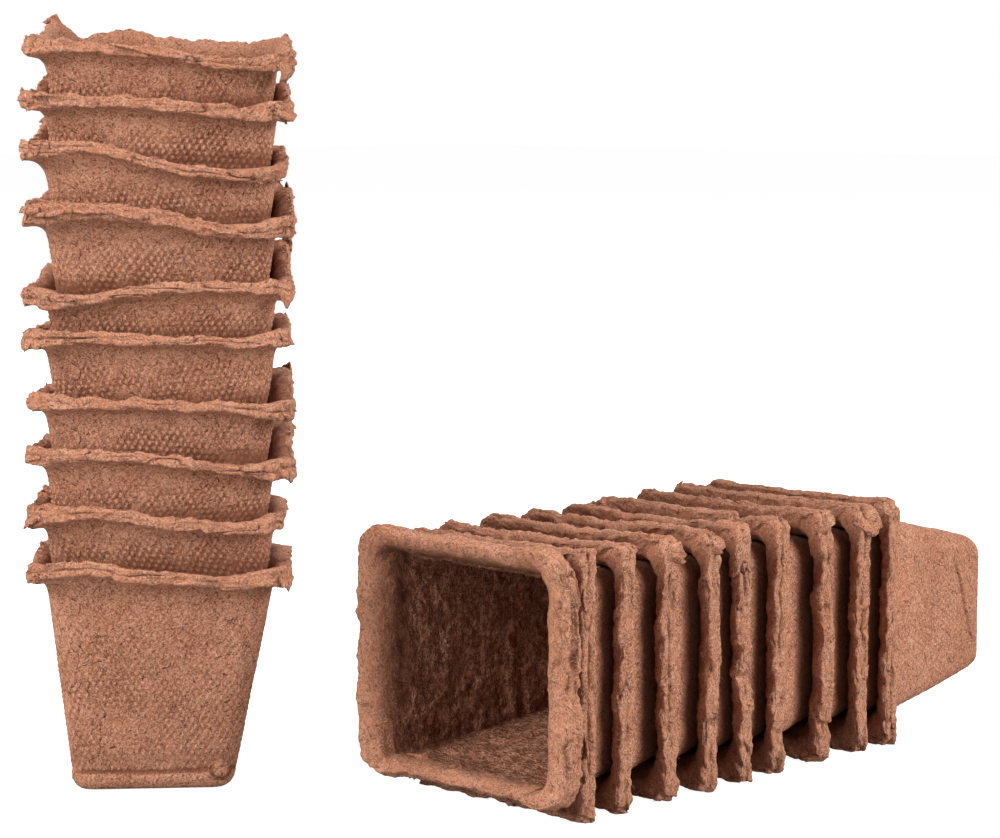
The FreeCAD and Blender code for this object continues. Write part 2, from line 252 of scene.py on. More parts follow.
def noise(points, width, seed):
    """Smooth, repeatable noise between -1 and 1 at 3D points, with lumps about `width` across."""
    scaled = points / width + 7.31 * seed
    low = np.floor(scaled)
    part = (scaled - low).astype(np.float32)
    part = part * part * part * (part * (part * 6 - 15) + 10)
    cell = low.astype(np.int64).astype(np.uint32)
    primes = (np.uint32(374761393), np.uint32(668265263), np.uint32(2246822519))
    total = np.zeros(points.shape[:-1], dtype=np.float32)
    for corner in range(8):
        key = np.full(total.shape, (seed * 40503 + 977) & 0xFFFFFFFF, dtype=np.uint32)
        weight = np.ones(total.shape, dtype=np.float32)
        for axis in range(3):
            step = corner >> axis & 1
            key = key ^ (cell[..., axis] + np.uint32(step)) * primes[axis]
            weight = weight * (part[..., axis] if step else 1 - part[..., axis])
        key = (key ^ key >> np.uint32(15)) * np.uint32(0x2C1B3C6D)
        key = (key ^ key >> np.uint32(12)) * np.uint32(0x297A2D39)
        key = key ^ key >> np.uint32(15)
        total += weight * ((key & np.uint32(0xFFFF)).astype(np.float32) / 32767.5 - 1)
    return total.astype(np.float64)


def layered(points, width, seed):
    """Noise with two finer and weaker layers added to it."""
    total = np.zeros(points.shape[:-1])
    for layer in range(3):
        total += noise(points, width / 2**layer, seed + layer) / 2**layer
    return total / (1 + 1 / 2 + 1 / 4)


def smooth_step(low, high, value):
    part = np.clip((value - low) / (high - low), 0, 1)
    return part * part * (3 - 2 * part)


class Layout:
    """Columns of the mesh round a pot: each quarter has one side and the corner after it."""

    def __init__(self, side_cells, corner_cells):
        quarter_cells = side_cells + corner_cells
        self.count = 4 * quarter_cells
        self.column = np.arange(self.count)
        cell = self.column % quarter_cells
        quarter = self.column // quarter_cells
        turn = quarter * QUARTER_TURN
        self.part = np.clip(cell / side_cells, 0, 1)
        self.angle = np.clip((cell - side_cells) / corner_cells, 0, 1) * QUARTER_TURN
        self.along = np.stack([np.cos(turn), np.sin(turn)], axis=-1)
        self.outward = np.stack([np.sin(turn), -np.cos(turn)], axis=-1)
        # The middle of each corner is at an even place: 0, 2, 4 or 6.
        self.place = 2 * (quarter + (cell + corner_cells / 2) / quarter_cells) % 8
        self.nearness = np.abs(self.place % 2 - 1)

    def ring(self, half, corner, height):
        """Points of one round-cornered square; the sizes may differ from column to column."""
        straight = half - corner
        forward = straight * (2 * self.part - 1) + corner * np.sin(self.angle)
        out = straight + corner * np.cos(self.angle)
        flat = forward[:, None] * self.along + out[:, None] * self.outward
        return np.column_stack([flat, np.broadcast_to(height, (self.count,))])

    def away(self, place):
        """How far each column is from a place on the lip, the short way round."""
        return np.abs((self.place - place + 4) % 8 - 4)

    def travel(self, half, corner):
        """Distance along the wall from the middle of the side, for the screen's pattern."""
        straight = half - corner
        return straight * (2 * self.part - 1) + corner * self.angle

    def curve(self, table, field):
        """One row of a lip's table as a smooth closed curve, at every column."""
        places, values = np.array(table[0]), np.array(table[field])
        places = np.concatenate([places[-2:] - 8, places, places[:3] + 8])
        values = np.concatenate([values[-2:], values, values[:3]])
        slopes = np.gradient(values, places)
        span = np.clip(np.searchsorted(places, self.place, side="right") - 1, 0, len(places) - 2)
        width = places[span + 1] - places[span]
        part = (self.place - places[span]) / width
        rise = values[span] * (1 + 2 * part) * (1 - part) ** 2 + values[span + 1] * part**2 * (3 - 2 * part)
        lean = slopes[span] * part * (1 - part) ** 2 + slopes[span + 1] * part**2 * (part - 1)
        return rise + lean * width


def outer_half(height):
    return FOOT_WIDTH / 2 + TAPER * height


def outer_corner(height):
    return FOOT_CORNER + CORNER_GROWTH * height


class Profile:
    """Rings of points from the middle of the foot, up the outside, over the lip and down inside."""

    def __init__(self, layout):
        self.layout = layout
        self.rings = []
        self.travels = []
        self.masks = []

    def add(self, half, corner, height, **masks):
        corner = np.maximum(corner, LEAST_CORNER)
        self.rings.append(self.layout.ring(half, corner, height))
        self.travels.append(self.layout.travel(half, corner))
        self.masks.append(masks)

    def mask(self, name):
        return np.array([row.get(name, 0.0) for row in self.masks])[:, None]


def add_foot(profile, pot):
    half = outer_half(0) - pot["foot_inset"] - pot["slimming"]
    corner = FOOT_CORNER - 2
    for share in (0.02, 0.2, 0.4, 0.6, 0.8, 0.92, 1.0):
        profile.add(half * share, corner * share, 0.0, base=1.0)
    for angle in np.linspace(0, QUARTER_TURN, FOOT_STEPS)[1:]:
        height = pot["foot_round"] * (1 - math.cos(angle))
        out = pot["foot_inset"] * math.sin(angle) + TAPER * height
        wall = angle / QUARTER_TURN
        profile.add(half + out, corner + 2 * math.sin(angle), height, wall=wall, screen=wall)


def add_outside(profile, pot):
    top = SHOULDER_HEIGHT - pot["bend_start"]
    height = pot["foot_round"]
    while True:
        height += pot["row"] if height >= pot["fine_from"] else 3 * pot["row"]
        if height > top - pot["row"] / 2:
            break
        slim = pot["slimming"] * (1 - height / SHOULDER_HEIGHT) ** 2
        screen = 1.0 if height >= pot["fine_from"] else 0.0
        profile.add(outer_half(height) - slim, outer_corner(height), height, wall=1.0, screen=screen)


def add_lip(profile, pot):
    """Rings over the lip: a bent sheet that ends in a torn band."""
    layout, wall, seed, table = profile.layout, pot["wall"], pot["seed"], pot["lip"]
    about = layout.ring(outer_half(SHOULDER_HEIGHT) + 4, MOUTH_CORNER, 0.0) + 50.0 * seed

    def wave(width, number):
        return noise(about, width, seed + number)

    at_corner = smooth_step(0.6, 1.0, layout.nearness) * pot["wild_corners"]
    rise = layout.curve(table, 1) + 0.5 * wave(9.0, 0) + 0.35 * wave(3.7, 1)
    rise = rise + at_corner * (1.6 * wave(4.0, 7) + 0.8 * wave(1.9, 8))
    reach = layout.curve(table, 2) + 0.45 * wave(7.0, 2) + 0.35 * wave(2.3, 3)
    reach = reach + at_corner * (1.0 + 0.9 * wave(3.2, 9) + 0.4 * wave(1.6, 10))
    thick = layout.curve(table, 3) + 0.4 * wave(6.0, 4) + 0.3 * wave(2.0, 6)
    thick = np.maximum(thick + 2.4 * at_corner, LEAST_THICKNESS)
    notch = np.clip(wave(5.0, 5) - 0.55, 0, 1) * pot["notches"]
    scallop = pot["scallops"] * (wave(5.0, 40) + 0.5 * wave(2.3, 41))
    worn = 1.6 * pot["worn_and_shaded_top"] * np.exp(-(((layout.place - 5.4) / 1.1) ** 2))
    reach = np.maximum(reach - notch - worn, LEAST_REACH)

    start_height = SHOULDER_HEIGHT - pot["bend_start"]
    start_out = np.full(layout.count, outer_half(start_height) - wall / 2)
    start = np.stack([start_out, np.full(layout.count, start_height)])
    end_height = LIP_LEVEL + rise
    end = np.stack([outer_half(SHOULDER_HEIGHT) + reach - ARRIS, end_height])
    sharper = pot["sharp_side"] * np.exp(-(((layout.place - 7) / 1.1) ** 2))
    climb = np.maximum(end_height - start_height, 2.0) * (pot["bend_climb"] + sharper)
    climb = climb + np.clip(-0.9 * rise, 0, 4) * pot["wild_corners"]
    bend = np.stack([start[0] + TAPER * climb, start_height + climb])
    sheet = []
    for part in np.linspace(0, 1, LIP_STEPS):
        point = (1 - part) ** 2 * start + 2 * part * (1 - part) * bend + part**2 * end
        slope = 2 * (1 - part) * (bend - start) + 2 * part * (end - bend)
        slope = slope / np.linalg.norm(slope, axis=0)
        side = np.stack([slope[1], -slope[0]])
        depth = wall / 2 + (thick - wall) / 2 * smooth_step(0.0, 1.0, part)
        hollow = (wall / 2 - pot["thinnest"]) * math.sin(math.pi * min(1.25 * part, 1.0)) ** 2
        sheet.append((part, point, slope, side, depth, hollow))

    rows = []
    for part, point, slope, side, depth, hollow in sheet:
        fade = float(1 - smooth_step(0.0, 0.7, part))
        rows.append((point + side * depth, dict(wall=fade, under=float(part**2))))
    part, point, slope, side, depth, hollow = sheet[-1]
    flat = np.maximum(depth - ARRIS, 0.1)
    for angle in np.linspace(QUARTER_TURN, 0, ARRIS_STEPS)[1:]:
        bent = side * math.sin(angle) + slope * math.cos(angle)
        rows.append((point + side * flat + bent * ARRIS, dict(torn=1.0, arris=math.sin(angle))))
    for share in np.linspace(1, -1, BAND_STEPS)[1:-1]:
        split = float(math.exp(-((share / 0.22) ** 2)))
        front = scallop * ((1 - share) / 2) ** 2
        # front: share of the painted shade on the lying stack's top lips, rising towards the lip's inner
        # face.
        masks = dict(torn=1.0, split=split, front=0.5 * ((1 - share) / 2) ** 1.5)
        rows.append((point + side * (flat * share - front) + slope * ARRIS, masks))
    for angle in np.linspace(0, QUARTER_TURN, ARRIS_STEPS)[:-1]:
        bent = slope * math.cos(angle) - side * math.sin(angle)
        masks = dict(torn=1.0, arris=math.sin(angle), front=0.55)
        rows.append((point - side * (flat + scallop) + bent * ARRIS, masks))
    for part, point, slope, side, depth, hollow in reversed(sheet):
        masks = dict(lip=float(smooth_step(0.1, 0.6, part)), arris=float(part**8))
        # Painted shade: the lip's inner face is darkened towards its root, deep in the gap beside the next
        # pot.
        masks["gap"] = float((1 - part) ** pot["gap_fade"])
        # On the mouth, the painted shade of the inside starts on the lip's inner face.
        masks["inside"] = float((1 - part) ** 2) * pot["cracked_side"]
        masks["front"] = 0.55 + 0.45 * float(smooth_step(1.0, 0.92, part))
        rows.append((point - side * (depth - hollow + scallop * part**3), masks))

    spread = (pot["rim_corner"] - MOUTH_CORNER) / FULL_REACH
    inward = 1 + pot["corner_cut"] / wall
    for (half, height), masks in rows:
        out = half - outer_half(SHOULDER_HEIGHT)
        profile.add(half, MOUTH_CORNER + np.where(out > 0, out * spread, out * inward), height, **masks)


def add_inside(profile, pot):
    wall = pot["wall"]
    top = SHOULDER_HEIGHT - pot["bend_start"]
    bottom = FLOOR_THICKNESS + FLOOR_EDGE
    count = max(int((top - bottom) / pot["inside_row"]), 4)
    for height in np.linspace(top, bottom, count + 1)[1:]:
        corner = outer_corner(height) - wall - pot["corner_cut"]
        profile.add(outer_half(height) - wall * SLANT, corner, height, inside=1.0)
    half = outer_half(bottom) - wall * SLANT
    corner = outer_corner(bottom) - wall - pot["corner_cut"]
    for angle in np.linspace(0, QUARTER_TURN, 6)[1:]:
        drop = FLOOR_EDGE * math.sin(angle)
        inward = FLOOR_EDGE * (1 - math.cos(angle))
        profile.add(half - inward, corner - inward * 0.3, bottom - drop, inside=1.0)
    for share in (0.9, 0.75, 0.55, 0.35, 0.15, 0.02):
        flat = (half - FLOOR_EDGE) * share
        profile.add(flat, (corner - 1) * share, FLOOR_THICKNESS, inside=1.0, base=1.0)


def normals_of(points):
    around = np.roll(points, -1, axis=1) - np.roll(points, 1, axis=1)
    up = np.gradient(points, axis=0)
    across = np.cross(around, up)
    return across / np.maximum(np.linalg.norm(across, axis=-1, keepdims=True), 1e-9)


def ridges(value, sharpness):
    return np.clip(1 - np.abs(value) * sharpness, 0, 1)


def roughen(profile, pot):
    """Move the points along their normals: screen bumps outside, torn fibre at the edge, lumps inside."""
    seed = pot["seed"]
    points = np.array(profile.rings)
    place = points + 100.0 * seed
    height = points[..., 2]

    def rough(width, number):
        return noise(place, width, seed + number)

    wall, torn, arris = profile.mask("wall"), profile.mask("torn"), profile.mask("arris")
    under, lip, inside, base = (profile.mask(name) for name in ("under", "lip", "inside", "base"))

    travel = np.array(profile.travels) + pot["screen_slant"] * height + 0.7 * rough(11.0, 34)
    level = height + 0.5 * rough(13.0, 35) + pot["screen_tilt"] * np.array(profile.travels)
    bumps = np.cos(2 * math.pi * travel / SCREEN_PITCH) * np.cos(2 * math.pi * level / SCREEN_ROWS)
    bumps = np.clip(1.9 * np.clip(bumps, 0, 1) ** 1.3 - 0.6, -0.6, 1.0)
    firm = 0.8 + 0.35 * rough(14.0, 11) + 0.45 * rough(3.2, 21)
    fade = 1 - smooth_step(*pot["screen_fade"], height + 1.5 * rough(9.0, 38))
    screen = profile.mask("screen") * np.clip(firm * (0.15 + 0.85 * fade), 0.05, 1.1) * pot["screen_strength"]

    shift = wall * (0.14 * layered(place, 17.0, seed + 12) + 0.07 * rough(1.5, 13) - 0.08)
    shift = shift + screen * bumps * SCREEN_DEPTH
    thin = place * np.array([1, 1, 5.0])
    flakes = noise(thin, 7.0, seed + 14)
    crack = ridges(noise(thin, 9.0, seed + 22), 8) * smooth_step(-0.1, 0.3, rough(11.0, 23))
    ragged = 0.34 * layered(place, 2.4, seed + 15) + 0.16 * rough(0.9, 24)
    shift = shift + np.maximum(torn, under * 0.5) * (ragged + 0.35 * flakes) - torn * crack * CRACK_DEPTH
    layers_apart = smooth_step(-0.15, 0.35, noise(thin, 13.0, seed + 28)) * pot["splitting"]
    at_corner = smooth_step(0.6, 1.0, profile.layout.nearness) * pot["wild_corners"]
    layers_apart = layers_apart + 0.7 * at_corner * smooth_step(-0.3, 0.3, rough(5.0, 33))
    split = profile.mask("split") * layers_apart * (0.7 + 0.5 * rough(2.2, 29))
    shift = shift - split
    shift = shift + arris * (0.4 * rough(1.7, 25) + 0.2 * rough(0.8, 26))
    lumps = 0.5 * rough(5.5, 16) + 0.35 * ridges(rough(4.2, 27), 2.2)
    lumps = lumps + 0.28 * rough(1.4, 17) - 0.2
    shift = shift + lip * pot["lip_lumps"] * lumps
    stringy = layered(place * np.array([0.8, 0.8, 1.5]), 4.2, seed + 18) + 0.5 * rough(1.5, 19)
    folds = ridges(noise(place * np.array([0.7, 0.7, 1.6]), 3.6, seed + 30), 2.5)
    shift = shift + inside * (1 - base * 0.5) * pot["inside_lumps"] * (stringy + 0.6 * folds - 0.5)
    # Relief for the colour: low places (between screen bumps, in cracks, splits and creases) get painted
    # shade, high places (bump tops, the foot's hem) a painted highlight.
    relief_shading = screen * bumps - torn * crack - np.clip(split, 0, 1.2)
    if pot["cracked_side"]:
        line = ridges(noise(place * np.array([1, 0.2, 1]), 4.0, seed + 42), 7)
        line = line * smooth_step(-0.5, 0.1, rough(12.0, 43)) * np.maximum(lip, torn)
        line = line * smooth_step(33.0, 36.5, points[..., 0])
        shift = shift - 1.2 * line
        relief_shading = relief_shading - 1.2 * line
        torn_side = smooth_step(35.5, 38.5, points[..., 0]) * np.maximum(lip, torn)
        torn_lumps = 0.7 * layered(place, 4.0, seed + 45) + 0.3 * rough(1.2, 46)
        shift = shift + torn_side * torn_lumps
    if pot["foot_crease"]:
        hem, line = press_foot(points, seed)
        shift = shift + wall * hem
        relief_shading = relief_shading + wall * (0.3 * np.clip(hem, 0, 1) - line)
    if pot["side_crease"]:
        level = SIDE_CREASE + SIDE_CREASE_SLANT * points[..., 1] + 1.3 * noise(points, 6.0, seed + 36)
        line = np.exp(-(((height - level) / 0.6) ** 2)) * smooth_step(18, 22, points[..., 0])
        line = line * smooth_step(-16, -8, points[..., 1]) * smooth_step(19, 12, points[..., 1]) * wall
        shift = shift - 0.5 * line + 0.35 * wall * smooth_step(0.6, -0.4, height - level)
        relief_shading = relief_shading - 0.6 * line
    # Painted shade on the wall just above the lip of the pot around it, where that lip shadows it.
    above = np.clip(height - (SHOULDER_HEIGHT - pot["stands_out"]), 0, SHADE_END)
    shade = wall * (1 - smooth_step(0.5, pot["shade_length"], above + 0.8 * rough(5.0, 37)))
    if pot["foot_crease"]:
        # Painted shade in the foot's crease and in a band above it.
        shade = shade + wall * (0.35 * np.exp(-(((height - 9.5) / 2.5) ** 2)) + np.clip(line, 0, 1))
        shade = np.clip(shade, 0, 1.2)
    moved = points + normals_of(points) * shift[..., None]
    return moved, relief_shading, shade


def press_foot(points, seed):
    """The pressed foot: a hem under a wandering crease, and a round dimpled knob at one corner."""
    across, height = points[..., 0], points[..., 2]
    level = FOOT_CREASE + 0.5 * noise(points, 16.0, seed + 31) + 0.3 * noise(points, 4.0, seed + 32)
    front = smooth_step(0, 3, -points[..., 1] - FOOT_WIDTH / 2 + 5)
    line = np.exp(-(((height - level) / 0.5) ** 2)) * front * smooth_step(-24, -20, across)
    hem = 0.8 * smooth_step(0.6, -0.4, height - level) * front
    away = np.hypot(across - KNOB_PLACE[0], height - KNOB_PLACE[1])
    knob = front * smooth_step(KNOB_SIZE + 0.4, KNOB_SIZE - 1.2, away)
    rim = front * np.exp(-(((away - KNOB_SIZE) / 0.4) ** 2)) * smooth_step(2.0, -2.0, height - KNOB_PLACE[1])
    line = np.maximum(line * (1 - knob), rim)
    return hem * (1 - knob) + 0.7 * knob - 0.7 * line, 1.2 * line


def fibres(profile, points, pot):
    """Loose fibres that stand out of the surface: roots, directions, lengths."""
    chance = np.random.default_rng(pot["seed"])
    rows, columns = points.shape[:2]
    torn = np.maximum(profile.mask("torn"), 0.6 * profile.mask("arris"))[:, 0]
    lip = profile.mask("lip")[:, 0]
    outside = profile.mask("screen")[:, 0]
    weight = 1.0 * torn + 0.22 * lip + 0.05 * outside + 0.03 * profile.mask("inside")[:, 0]
    weight = weight * (1 - profile.mask("base")[:, 0])
    row = chance.choice(rows, FIBRES, p=weight / weight.sum())
    column = chance.integers(0, columns, FIBRES)
    root = points[row, column]
    normal = normals_of(points)[row, column]
    way = normal * chance.uniform(0.15, 1.0, (len(row), 1)) + chance.normal(0, 0.75, (len(row), 3))
    way /= np.linalg.norm(way, axis=1, keepdims=True)
    length = chance.uniform(*FIBRE_LENGTH, (len(row), 1))
    curl = chance.normal(0, 0.5, (len(row), 3))
    thickness = chance.uniform(*FIBRE_THICKNESS, (len(row), 1))
    return root, normal, way, length, curl, thickness


def copies(vertices, faces):
    """Many closed meshes with the same faces as one: all their points, and all their triangles."""
    number, size = vertices.shape[:2]
    triangles = np.array(faces)[None] + (np.arange(number) * size)[:, None, None]
    return vertices.reshape(-1, 3), triangles.reshape(-1, 3)


def fibre_tubes(profile, points, pot):
    """Each fibre as a closed three-sided tube that tapers to a point; returns points and triangles."""
    root, normal, way, length, curl, thickness = fibres(profile, points, pot)
    aside = np.cross(way, curl + np.array([0.3, 0.2, 0.1]))
    aside /= np.maximum(np.linalg.norm(aside, axis=1, keepdims=True), 1e-6)
    other = np.cross(way, aside)
    rings = []
    for step in range(FIBRE_STEPS):
        part = step / FIBRE_STEPS
        centre = root - normal * FIBRE_ROOT + way * length * part + curl * length * part**2 * 0.6
        for corner in range(3):
            turn = 2 * math.pi * corner / 3
            out = aside * math.cos(turn) + other * math.sin(turn)
            rings.append(centre + out * thickness * (1 - 0.6 * part))
    tip = root - normal * FIBRE_ROOT + way * length + curl * length * 0.6
    vertices = np.stack(rings + [tip], axis=1)
    faces = [(0, 2, 1)]
    for step in range(FIBRE_STEPS - 1):
        for corner in range(3):
            here, there = 3 * step + corner, 3 * step + (corner + 1) % 3
            faces += [(here, there, there + 3), (here, there + 3, here + 3)]
    last = 3 * (FIBRE_STEPS - 1)
    faces += [(last + corner, last + (corner + 1) % 3, 3 * FIBRE_STEPS) for corner in range(3)]
    return copies(vertices, faces)


def flake_sheets(profile, points, pot):
    """Small curled flakes at the torn edge, the longest at wild corners; returns points and triangles."""
    chance = np.random.default_rng(pot["seed"] + 7)
    count = pot["flakes"]
    layout = profile.layout
    at_corner = smooth_step(0.5, 0.95, layout.nearness) * pot["wild_corners"]
    torn_rows = np.flatnonzero(profile.mask("torn")[:, 0] > 0)
    row = chance.choice(torn_rows, count)
    weight = 0.25 + at_corner
    column = chance.choice(layout.count, count, p=weight / weight.sum())
    length = chance.uniform(*FLAKE_LENGTH, count) * (1 + 0.9 * at_corner[column])
    width = chance.uniform(*FLAKE_WIDTH, count)
    thick = chance.uniform(*FLAKE_THICKNESS, count)
    curl = chance.choice([-1, 1], count) * chance.uniform(0.4, 1.9, count)
    tilt = chance.normal(0, 0.5, count)
    flaps = np.array([(*flap, 0.0)[:7] for flap in FLAPS.get(pot["name"], ())]).reshape(-1, 7)
    nearest = [int(np.argmin(layout.away(place))) for place in flaps[:, 0]]
    column = np.concatenate([column, np.array(nearest, dtype=int)])
    row = np.concatenate([row, np.full(len(flaps), torn_rows[len(torn_rows) // 2])])
    sizes = np.column_stack([length, width, thick, curl, tilt, np.zeros(count)])
    length, width, thick, curl, tilt, swing = np.vstack([sizes, flaps[:, 1:]]).T
    count += len(flaps)

    root = points[row, column]
    normal = normals_of(points)[row, column]
    along = points[row, (column + 5) % layout.count] - points[row, column - 5]
    along /= np.linalg.norm(along, axis=1, keepdims=True)
    other = np.cross(along, normal)

    length, width, thick, curl = (size[:, None, None, None] for size in (length, width, thick, curl))
    tilt, swing = tilt[:, None], swing[:, None]
    first = normal * np.cos(tilt) + other * np.sin(tilt)
    second = other * np.cos(tilt) - normal * np.sin(tilt)
    swung = first * np.cos(swing) - along * np.sin(swing)
    along = along * np.cos(swing) + first * np.sin(swing)
    first, second, along = (way[:, None, None, :] for way in (swung, second, along))

    steps = FLAKE_STEPS
    part = np.linspace(0, 1, steps)[None, :, None, None]
    across = np.linspace(-0.5, 0.5, steps)[None, None, :, None]
    rounding = np.where(length > LONG_FLAP, 0.7, 1.4)
    ragged = chance.uniform(0.8, 1.15, (count, 1, steps, 1)) * (1 - rounding * across**2)
    bend = curl * part
    narrowing = np.where(length > LONG_FLAP, 0.2, 0.45)
    middle = (root - FLAKE_ROOT * normal)[:, None, None, :] + along * width * across * (1 - narrowing * part)
    middle = middle + length * ragged * (first * np.sin(bend) + second * (1 - np.cos(bend))) / curl
    middle = middle + chance.normal(0, 0.12, middle.shape)
    face = second * np.cos(bend) - first * np.sin(bend)
    half = face * thick * (1 - 0.7 * part) / 2
    vertices = np.stack([middle + half, middle - half], axis=1).reshape(count, -1, 3)

    size = steps * steps
    grid = np.arange(size).reshape(steps, steps)
    faces = []
    for i in range(steps - 1):
        for j in range(steps - 1):
            a, b, c, d = grid[i, j], grid[i, j + 1], grid[i + 1, j + 1], grid[i + 1, j]
            faces += [(a, b, c), (a, c, d), (a + size, c + size, b + size), (a + size, d + size, c + size)]
    border = list(grid[0]) + list(grid[1:, -1]) + list(grid[-1, -2::-1]) + list(grid[-2:0:-1, 0])
    for here, there in zip(border, border[1:] + border[:1]):
        faces += [(here, here + size, there + size), (here, there + size, there)]
    return copies(vertices, faces)


def build_mesh(name, profile, points, relief_shading, shade, pot, place_pot):
    """Join the rings into one closed mesh, add its fibres and store what the material reads."""
    rows, columns = points.shape[:2]
    flat = points.reshape(-1, 3)
    centres = np.array([points[0].mean(axis=0), points[-1].mean(axis=0)])
    hairs, hair_faces = fibre_tubes(profile, points, pot)
    flakes, flake_faces = flake_sheets(profile, points, pot)
    everything = np.vstack([flat, centres, hairs, flakes])
    coordinates = place_pot(everything) * MM
    low_centre, high_centre = len(flat), len(flat) + 1

    column = profile.layout.column
    following = (column + 1) % columns
    row = np.arange(rows - 1)[:, None] * columns
    quads = np.stack([row + column, row + following, row + columns + following, row + columns + column], -1)
    last = (rows - 1) * columns
    foot_fan = np.stack([following, column, np.full(columns, low_centre)], -1)
    floor_fan = np.stack([last + column, last + following, np.full(columns, high_centre)], -1)
    hairs_from = len(flat) + len(centres)
    flakes_from = hairs_from + len(hairs)
    triangles = np.concatenate([foot_fan, floor_fan, hair_faces + hairs_from, flake_faces + flakes_from])
    loops = np.concatenate([quads.ravel(), triangles.ravel()])
    quad_count = (rows - 1) * columns
    starts = np.concatenate([np.arange(quad_count) * 4, quad_count * 4 + np.arange(len(triangles)) * 3])

    mesh = bpy.data.meshes.new(name)
    mesh.vertices.add(len(coordinates))
    mesh.vertices.foreach_set("co", coordinates.astype(np.float32).ravel())
    mesh.loops.add(len(loops))
    mesh.loops.foreach_set("vertex_index", loops.astype(np.int32))
    mesh.polygons.add(len(starts))
    mesh.polygons.foreach_set("loop_start", starts.astype(np.int32))
    mesh.update(calc_edges=True)
    mesh.polygons.foreach_set("use_smooth", np.ones(len(starts), dtype=bool))

    # Flat coordinates in millimetres for the fibres' pattern: round the pot and up it.
    steps = np.linalg.norm(np.diff(points, axis=0), axis=-1).mean(axis=1)
    climb = np.concatenate([[0], np.cumsum(steps)])
    width = (MOUTH_WIDTH - 2 * MOUTH_CORNER) / pot["side_cells"]
    u = np.stack([column, column + 1, column + 1, column], -1) * width
    u = np.broadcast_to(u, (rows - 1, columns, 4))
    v = np.stack([climb[:-1], climb[:-1], climb[1:], climb[1:]], -1)[:, None, :]
    uv = np.stack([u, np.broadcast_to(v, u.shape)], -1)
    base = profile.mask("base")[:, 0]
    for index in np.flatnonzero(base[:-1] * base[1:]):
        here, there = points[index, :, :2] + LOOSE_PATTERN, points[index + 1, :, :2] + LOOSE_PATTERN
        uv[index] = np.stack([here, np.roll(here, -1, axis=0), np.roll(there, -1, axis=0), there], axis=1)
    loose_uv = everything[triangles.ravel()][:, :2] + LOOSE_PATTERN
    layer = mesh.uv_layers.new(name="fibre")
    layer.uv.foreach_set("vector", np.concatenate([uv.reshape(-1, 2), loose_uv]).astype(np.float32).ravel())

    def store(label, values, hair_value=0.0, flake_value=0.0):
        field = mesh.attributes.new(label, "FLOAT", "POINT")
        whole = np.broadcast_to(values, (rows, columns)).ravel()
        extras = [np.full(len(hairs), hair_value), np.full(len(flakes), flake_value)]
        whole = np.concatenate([whole, [0.0, 0.0], *extras])
        field.data.foreach_set("value", whole.astype(np.float32))

    store("relief_shading", relief_shading)
    store("shade", shade)
    store("torn", np.maximum(profile.mask("torn"), profile.mask("under") * 0.6), flake_value=1.0)
    store("lip", profile.mask("lip"))
    # inside: where the inside of a pot gets painted shade, with half the gap shade added.
    store("inside", np.maximum(profile.mask("inside"), 0.5 * profile.mask("gap")))
    lit = pot["cracked_side"] * smooth_step(2.6, 1.4, profile.layout.away(1.6))
    # Painted shade on the front faces of the lying stack's top lips, where the next lip shadows them.
    on_top = pot["worn_and_shaded_top"] * smooth_step(1.6, 1.2, np.abs(profile.layout.place - 5.6))
    blotchy = 0.8 + 0.5 * noise(points, 2.6, pot["seed"] + 44)
    # Painted shade in SHADE_BROWN at the lip roots, left out where the mouth's lower side is lit.
    gap = profile.mask("gap") * pot["gap_shade_strength"] * (1 - lit)
    store("gap", np.clip(np.maximum(gap, profile.mask("front") * on_top * blotchy), 0, 0.95))
    store("loose", 0.0, 1.0)
    mesh.validate()
    return mesh


def turning(angle):
    return np.array([[math.cos(angle), -math.sin(angle)], [math.sin(angle), math.cos(angle)]])


def placing(name):
    """A function that carries a pot's own points, in millimetres, to where the frame has the pot."""
    low, high = (np.array(corner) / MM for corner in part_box(name))
    if name.startswith("standing"):
        foot = np.array([0.0, 0.0, low[2]])
        turn, twist = turning(STACK_TURN), turning(STACK_TWIST)

        def place(points):
            level = points[:, 2] + foot[2]
            aside = level * STACK_LEAN - FOOT_SHIFT * np.clip(1 - level / FOOT_SHIFT_HEIGHT, 0, 1)
            leaned = points[:, :2] @ twist.T + np.stack([aside, 0 * level], -1) + STACK_SHIFT
            return np.column_stack([leaned @ turn.T, np.maximum(level, 0)])
    else:
        middle = (low + high) / 2
        foot = np.array([middle[0], high[1], middle[2]])

        def place(points):
            placed = np.column_stack([points[:, 0], -points[:, 2], points[:, 1]]) + foot
            far = np.clip((placed[:, 1] - SAG_START) / SAG_LENGTH, 0, 1.1)[:, None]
            placed = placed + far * np.array(SAG)
            if name == "lying_pot_10":
                placed[:, 2] += MOUTH_LIFT * smooth_step(*MOUTH_BEND, points[:, 2])
            placed[:, 2] = np.maximum(placed[:, 2], 0)
            return placed
    return place


def foot_level(name):
    low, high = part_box(name)
    return low[2] / MM if name.startswith("standing") else -high[1] / MM


def wall_of(stack, number):
    """A pot's wall follows from how far the next pot stands out of it."""
    if number == POTS:
        return INNERMOST_WALL
    pitch = foot_level(f"{stack}_pot_{number + 1:02d}") - foot_level(f"{stack}_pot_{number:02d}")
    return pitch * TAPER / SLANT - NEST_CLEARANCE


def standing_out(stack, number):
    """How far a pot stands out of the one round it."""
    if number == 1:
        return SHOULDER_HEIGHT + SHADE_END
    return foot_level(f"{stack}_pot_{number:02d}") - foot_level(f"{stack}_pot_{number - 1:02d}")


def screen_fade(stack, number):
    """The heights between which the screen's marks fade out; they show best where a pot comes out."""
    if number == 1:
        return (46.0, 60.0)
    shown = standing_out(stack, number)
    return (SHOULDER_HEIGHT - 0.75 * shown, SHOULDER_HEIGHT - 0.15 * shown)


